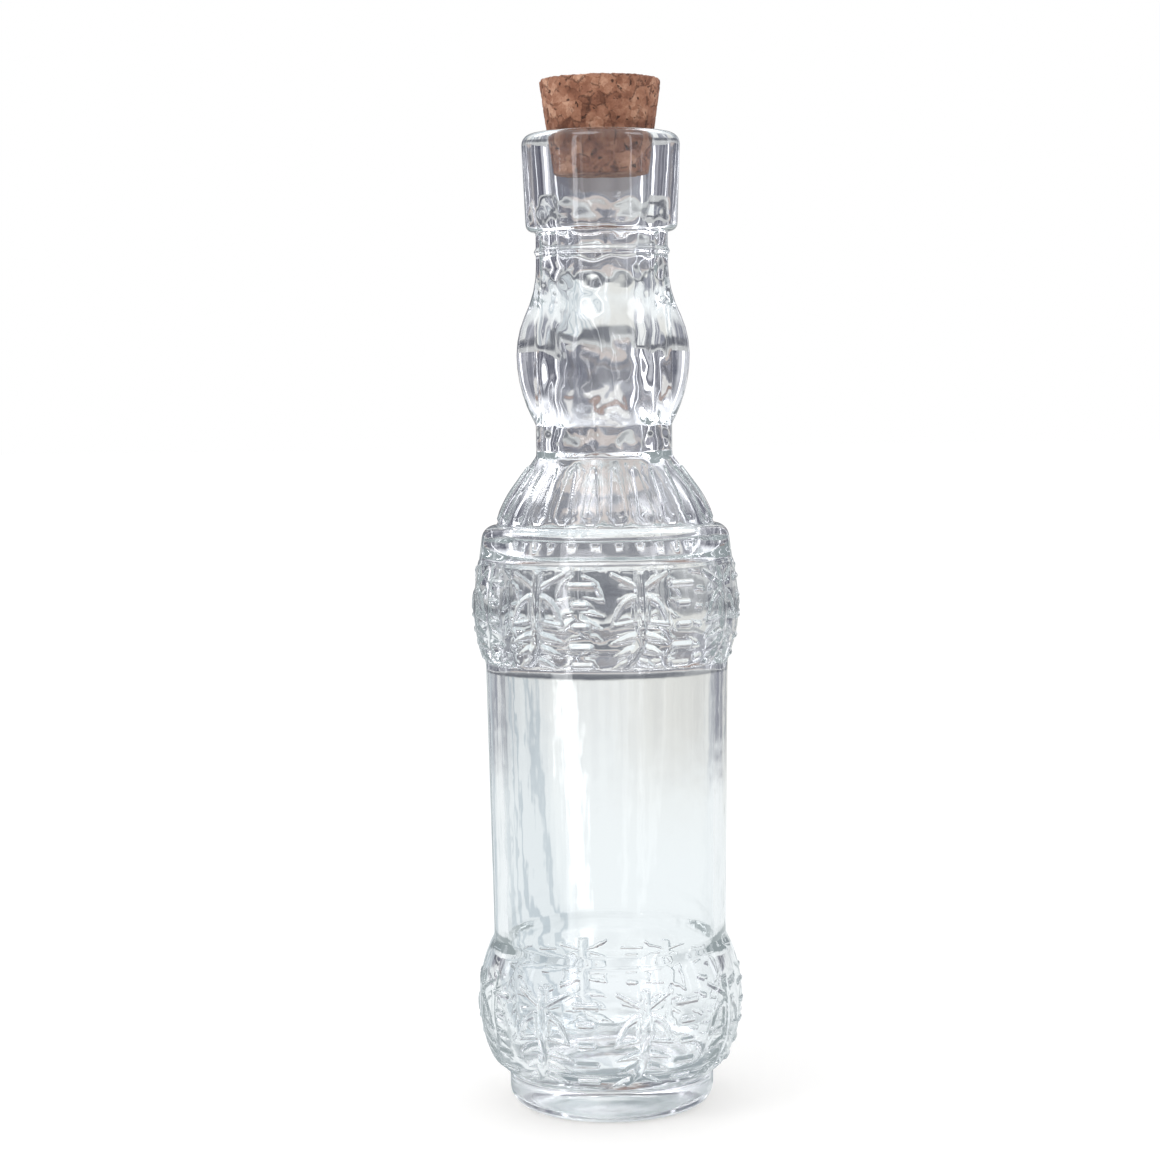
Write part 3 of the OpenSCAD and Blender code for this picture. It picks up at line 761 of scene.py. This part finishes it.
def pressedCork(c):
    material, tree = newMaterial("pressedCork")
    place = tree.make("ShaderNodeTexCoord", out=3)
    shift = tree.mottle(place, c["bendScale"], 3.0, out=1)
    warp = tree.make("ShaderNodeVectorMath", {"operation": "MULTIPLY_ADD"},
                     {0: shift, 1: (c["bend"] * mm,) * 3, 2: place})
    chips = {"Vector": warp, "Scale": c["chipScale"]}
    chip = tree.make("ShaderNodeTexVoronoi", None, chips, out=1)
    tone = tree.make("ShaderNodeSeparateColor", None, {"Color": chip})
    edge = tree.make("ShaderNodeTexVoronoi", {"feature": "DISTANCE_TO_EDGE"}, chips)
    crumbs = tree.make("ShaderNodeTexVoronoi", None, {"Vector": warp, "Scale": c["crumbScale"]}, out=1)
    crumb = tree.make("ShaderNodeSeparateColor", None, {"Color": crumbs}, out=1)
    grain = tree.make("ShaderNodeTexNoise", None,
                      {"Vector": place, "Scale": c["grainScale"], "Detail": 4.0, "Roughness": 0.65})
    patch = tree.mottle(place, c["patchScale"], 3.0)
    value = tone * 0.34 + crumb * 0.26 + grain * 0.45 + patch * 0.7 - 0.29
    colour = tree.make("ShaderNodeValToRGB", {"stops": c["tones"]}, {"Fac": value})
    broken = tree.step(tree.mottle(place, c["gapScale"]), 0.44, 0.6)
    seam = (1 - tree.step(edge + (grain - 0.5) * 0.2, 0.0, 0.09)) * broken
    pore = 1 - tree.step(tree.mottle(warp, c["poreScale"], 1.5), 0.29, 0.35)
    colour = tree.mix(seam * 0.6, colour, c["seamTone"])
    colour = tree.mix(pore * 0.85, colour, c["poreTone"])
    height = tone * 0.35 - seam - pore * 1.3 + grain * 0.5
    bump = tree.make("ShaderNodeBump", None, {
        "Height": height, "Strength": 1.0, "Distance": c["depth"] * mm})
    shader = tree.make("ShaderNodeBsdfPrincipled", None, {
        "Base Color": colour, "Roughness": 0.78 + tone * 0.15, "Specular IOR Level": 0.3, "Normal": bump})
    tree.make("ShaderNodeOutputMaterial", None, {"Surface": shader})
    return material


stopper = smoothMesh("corkStopper", *corkMesh(cork), pressedCork(cork))
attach(stopper, "cork")
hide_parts("cork_stopper")
print("cork made,", sum(len(p.vertices) - 2 for p in stopper.data.polygons), "triangles")


# Pale floor and soft studio light. The glass shows a pale table under it and a grey room past that.
# Azimuths are in degrees, 0 on the camera's side and 90 on the right. Heights in the room are sines
# of the elevation.
studio = {
    "floorSize": 7.6, "floorTone": 0.8, "floorGlow": 0.26, "tableDrop": 0.2,
    "tableR": 0.78, "tableSoft": 0.1, "tableTone": (0.9, 0.94, 0.955), "tableFar": (0.87, 0.875, 0.86),
    # of the table's tones here, the dark one is painted shadow behind the bottle and the cool one painted
    # shade at the back left
    "tableWarm": (0.76, 0.75, 0.71), "tableShadowTone": (0.24, 0.25, 0.3), "tableCoolShade": (0.36, 0.44, 0.5),
    # painted shadow on the table under the foot: strength, reach, dark tone and the scale of its patches
    "footShade": 0.8, "footShadeR": 0.038, "footShadowTone": (0.1, 0.15, 0.18), "footShadowPatchScale": 55.0,
    "roomR": 4.0, "roomColumns": 32, "roomRings": 15,
    "roomFloor": (0.12, 0.127, 0.15), "roomPale": (0.66, 0.67, 0.67), "warm": (0.34, 0.2, 0.14),
    "roomLow": (0.33, 0.33, 0.38), "roomHigh": (0.74, 0.75, 0.8), "roomDark": (0.09, 0.095, 0.13),
    "roomFront": (1.15, 1.17, 1.25), "ceiling": (1.1, 1.12, 1.18), "corkLight": (1.7, 1.62, 1.55),
    # zones of the table and the room: from, to, softness
    "warmSide": (160, 178, 4.0), "coolShadeSide": (-174, -140, 1.5), "paleSide": (160, 173, 2.5),
    "darkSide": (-178, -140, 4.0), "darkLow": (-0.1, 0.2, 0.04), "darkHigh": (0.23, 0.4, 0.05),
    # strips: middle azimuth, half width, strength
    "windows": ((-38, 3.4, 4.5), (44, 1.6, 3.4), (-122, 2.6, 1.3), (116, 2.6, 1.6), (-154, 1.2, 1.1),
                (161, 1.3, 1.4), (84, 1.6, 2.0), (-84, 2.0, 2.2)),
    "darkStrips": ((175.6, 1.2, 0.75), (-170.5, 1.6, 0.7), (-136, 4.0, 0.7), (-101, 4.0, 0.7),
                   (134, 4.0, 0.6)),
    "tableGlare": ((-176.8, 1.0, 0.3), (178.6, 0.5, 0.06), (175.3, 0.3, 0.06), (-37.5, 3.0, 1.2)),
    # painted shade: thin dark lines on the table at the back left
    "coolShadeLines": ((-172.4, 0.5, 0.4), (-168.3, 0.8, 0.5), (-163, 1.2, 0.45), (-156, 2.0, 0.5),
                  (-147, 3.0, 0.4)),
    # tones of the room straight behind the bottle: lower and upper height, tone
    "backTones": ((-0.1, 0.03, (0.66, 0.57, 0.52)), (0.045, 0.06, (0.13, 0.135, 0.16)),
                  (0.065, 0.1, (0.22, 0.2, 0.2)), (0.11, 0.2, (0.14, 0.14, 0.16)),
                  (0.22, 0.27, (0.9, 0.88, 0.85)), (0.28, 0.32, (0.36, 0.22, 0.16)),
                  (0.33, 0.38, (0.9, 0.88, 0.85)), (0.39, 0.41, (0.25, 0.23, 0.23)),
                  (0.42, 0.46, (0.9, 0.88, 0.85))),
    "backEdge": 0.012, "backShare": 0.75,
    # lamps overhead: azimuth, height, size, brightness
    "lamps": ((-30, 0.85, 0.26, 5), (62, 0.72, 0.2, 5), (150, 0.8, 0.24, 6), (-125, 0.7, 0.24, 6)),
    # the one real lamp, in metres and watts
    "leftLight": {"azimuth": -50, "height": 0.7, "distance": 1.0, "size": 0.5, "power": 2.0, "aimAt": 0.09},
}


# Azimuth, direction on the level and height of a place or a direction.
def aroundStand(tree, vector):
    parts = [tree.make("ShaderNodeSeparateXYZ", None, {"Vector": vector}, out=k) for k in range(3)]
    azimuth = parts[0].maths("ARCTAN2", parts[0], 0 - parts[1]) * (180 / math.pi)
    level = tree.make("ShaderNodeCombineXYZ", None, {"X": parts[0], "Y": parts[1]})
    level = tree.make("ShaderNodeVectorMath", {"operation": "NORMALIZE"}, {0: level})
    return azimuth, level, parts[2]


def bands(tree, level, scale, low, high):
    return tree.step(tree.mottle(level, scale), low, high)


def uprightStrips(tree, azimuth, strips, soft=0.7):
    total = 0.0
    for middle, half, strength in strips:
        total = total + tree.window(azimuth, middle - half, middle + half, soft) * strength
    return total


def whiteFloor(st):
    material, tree = newMaterial("paleFloor")
    shader = tree.make("ShaderNodeBsdfPrincipled", None, {
        "Base Color": (st["floorTone"],) * 3, "Roughness": 1.0, "Specular IOR Level": 0.0,
        "Emission Color": (1.0, 1.0, 1.0), "Emission Strength": st["floorGlow"]})
    tree.make("ShaderNodeOutputMaterial", None, {"Surface": shader})
    return material


def addSheet(name, size, material, z):
    h = size / 2
    sheet = addMesh(name, [(-h, -h, z), (h, -h, z), (h, h, z), (-h, h, z)], [(0, 1, 2, 3)], material)
    return sheet


def tableGlow(st):
    material, tree = newMaterial("paleTable")
    place = tree.make("ShaderNodeTexCoord", out=3)
    azimuth, level, _ = aroundStand(tree, place)
    far = tree.make("ShaderNodeVectorMath", {"operation": "LENGTH"}, {0: place}, out=1)
    tone = tree.mix(tree.step(far, 0.1, st["tableR"]), st["tableTone"], st["tableFar"])
    warm = tree.window(azimuth, *st["warmSide"]) * tree.step(far, 0.2, 0.5)
    tone = tree.mix(warm * 0.8, tone, st["tableWarm"])
    # painted shade: thin darker cool lines and a darker cool zone on the table at the back left, seen on
    # the bottle's left side
    backLeftShade = uprightStrips(tree, azimuth, st["coolShadeLines"], 0.35)
    backLeftShade = backLeftShade + tree.window(azimuth, *st["coolShadeSide"]) * 0.22
    tone = tree.mix(backLeftShade, tone, st["tableCoolShade"])
    side = azimuth.maths("ABSOLUTE", azimuth, 0.0)
    # painted shadow: dark stripes on the table straight behind the bottle
    shadowStripes = bands(tree, level, 5.0, 0.4, 0.55) * tree.step(side, 169, 158) * tree.step(far, 0.3, 0.45)
    tone = tree.mix(shadowStripes, tone, st["tableShadowTone"])
    # painted shadow: a patchy dark shade on the table under and round the bottle's foot
    shadowPatch = tree.step(tree.mottle(place, st["footShadowPatchScale"], 1.0), 0.47, 0.56)
    underFoot = 1 - tree.step(far, 0.2 * st["footShadeR"], 2.2 * st["footShadeR"])
    tone = tree.mix(underFoot * shadowPatch * st["footShade"], tone, st["footShadowTone"])
    # past the table: dark floor, paler further off, with warm patches straight behind
    blotch = tree.mottle(place, 3.1, 3.0)
    pale = tree.step(blotch, 0.52, 0.66) * 0.2 + tree.step(far, 1.2, 1.9) * 0.8
    past = tree.mix(pale + tree.window(azimuth, *st["paleSide"]) * 0.45, st["roomFloor"], st["roomPale"])
    wood = tree.step(far, 2.1, 2.6) * tree.step(side, 162, 170) * tree.step(blotch, 0.4, 0.55)
    past = tree.mix(wood * 0.45, past, st["warm"])
    edge = tree.step(far, st["tableR"] - st["tableSoft"], st["tableR"] + st["tableSoft"])
    colour = tree.mix(edge, tone, past)
    glare = uprightStrips(tree, azimuth, st["tableGlare"], 0.45)
    white = tree.make("ShaderNodeCombineColor", None, {"Red": glare, "Green": glare, "Blue": glare})
    colour = tree.mix(tree.step(far, 0.05, 0.2), colour, tree.mix(1.0, colour, white, "ADD"))
    shader = tree.make("ShaderNodeEmission", None, {"Color": colour, "Strength": 1.0})
    tree.make("ShaderNodeOutputMaterial", None, {"Surface": shader})
    return material


floor = addSheet("floor", studio["floorSize"], whiteFloor(studio), 0)
floor.visible_transmission = floor.visible_glossy = False
table = addSheet("tableSeenInGlass", studio["floorSize"], tableGlow(studio), -studio["tableDrop"] * mm)
table.visible_camera = table.visible_diffuse = table.visible_shadow = False


# The room as the glass shows it, on a shell that only reflections and refractions reach.
def roomGlow(st):
    material, tree = newMaterial("greyRoom")
    place = tree.make("ShaderNodeTexCoord", out=3)
    direction = tree.make("ShaderNodeVectorMath", {"operation": "NORMALIZE"}, {0: place})
    azimuth, level, up = aroundStand(tree, direction)
    side = azimuth.maths("ABSOLUTE", azimuth, 0.0)
    room = tree.mix(bands(tree, level, 3.2, 0.3, 0.7), st["roomLow"], st["roomHigh"])
    aside = tree.step(side, 170, 150) * 0.75 + 0.15
    dark = bands(tree, level, 7.0, 0.48, 0.6) * aside + uprightStrips(tree, azimuth, st["darkStrips"], 1.8)
    room = tree.mix(dark, room, st["roomDark"])
    room = tree.mix(tree.step(side, 100, 60) * 0.8, room, st["roomFront"])
    # a darker wall behind, in two soft zones, and in front of it the tones straight behind the bottle
    behind = tree.step(side, 110, 140)
    room = tree.mix(tree.window(up, *st["darkHigh"]) * behind * 0.75, room, st["roomDark"])
    wall = behind * 0.35 + tree.window(azimuth, *st["darkSide"]) * 0.5
    room = tree.mix(tree.window(up, *st["darkLow"]) * wall, room, st["roomDark"])
    ragged = up + (tree.mottle(direction, 14.0) - 0.5) * 0.06
    straight = tree.step(side, 166, 172)
    for low, high, tone in st["backTones"]:
        share = tree.window(ragged, low, high, st["backEdge"]) * straight * st["backShare"]
        room = tree.mix(share, room, tone)
    room = tree.mix(tree.step(up, 0.3, 0.55), room, st["ceiling"])
    glow = uprightStrips(tree, azimuth, st["windows"]) * (1 - tree.step(up, 0.5, 0.7))
    for turn, height, size, brightness in st["lamps"]:
        flat = math.sqrt(1 - height * height)
        aim = (flat * math.sin(math.radians(turn)), -flat * math.cos(math.radians(turn)), height)
        off = tree.make("ShaderNodeVectorMath", {"operation": "DISTANCE"}, {0: direction, 1: aim}, out=1)
        glow = glow + (1 - tree.step(off, size * 0.8, size * 1.2)) * brightness
    glow = tree.make("ShaderNodeCombineColor", None, {"Red": glow, "Green": glow, "Blue": glow * 1.04})
    room = tree.mix(1.0, room, glow, "ADD")
    lit = tree.make("ShaderNodeLightPath", out="Diffuse Depth") > 0.5     # what lights the cork in the neck
    shader = tree.make("ShaderNodeEmission", None, {"Color": tree.mix(lit, room, st["corkLight"])})
    tree.make("ShaderNodeOutputMaterial", None, {"Surface": shader})
    return material


def addRoom(st):
    columns, rings, radius = st["roomColumns"], st["roomRings"], st["roomR"]
    points = [(0, 0, -radius)]
    for ring in range(1, rings + 1):
        rise = math.pi * (ring / (rings + 1) - 0.5)
        for k in range(columns):
            turn = 2 * math.pi * k / columns
            level = radius * math.cos(rise)
            points.append((level * math.cos(turn), level * math.sin(turn), radius * math.sin(rise)))
    points.append((0, 0, radius))
    room = addMesh("room", points, skinFaces(columns, rings), roomGlow(st))
    room.visible_camera = room.visible_diffuse = room.visible_shadow = False


def whiteWorld():
    world = bpy.data.worlds.new("studio")
    world.use_nodes = True
    bpy.context.scene.world = world
    tree = Tree(world.node_tree)
    shader = tree.make("ShaderNodeBackground", None, {"Color": (1.0, 1.0, 1.0), "Strength": 1.0})
    tree.make("ShaderNodeOutputWorld", None, {"Surface": shader})


def softBox(name, box):
    data = bpy.data.lights.new(name, "AREA")
    data.shape, data.size, data.energy = "SQUARE", box["size"], box["power"]
    lamp = bpy.data.objects.new(name, data)
    a = math.radians(box["azimuth"])
    place = Vector((math.sin(a) * box["distance"], -math.cos(a) * box["distance"], box["height"]))
    lamp.location = place
    lamp.rotation_mode = "QUATERNION"
    lamp.rotation_quaternion = (place - Vector((0, 0, box["aimAt"]))).to_track_quat("Z", "Y")
    lamp.visible_camera = lamp.visible_glossy = lamp.visible_transmission = False
    bpy.context.scene.collection.objects.link(lamp)


whiteWorld()
addRoom(studio)
softBox("leftLight", studio["leftLight"])
bpy.context.scene.view_settings.view_transform = "Standard"
print("studio lit")
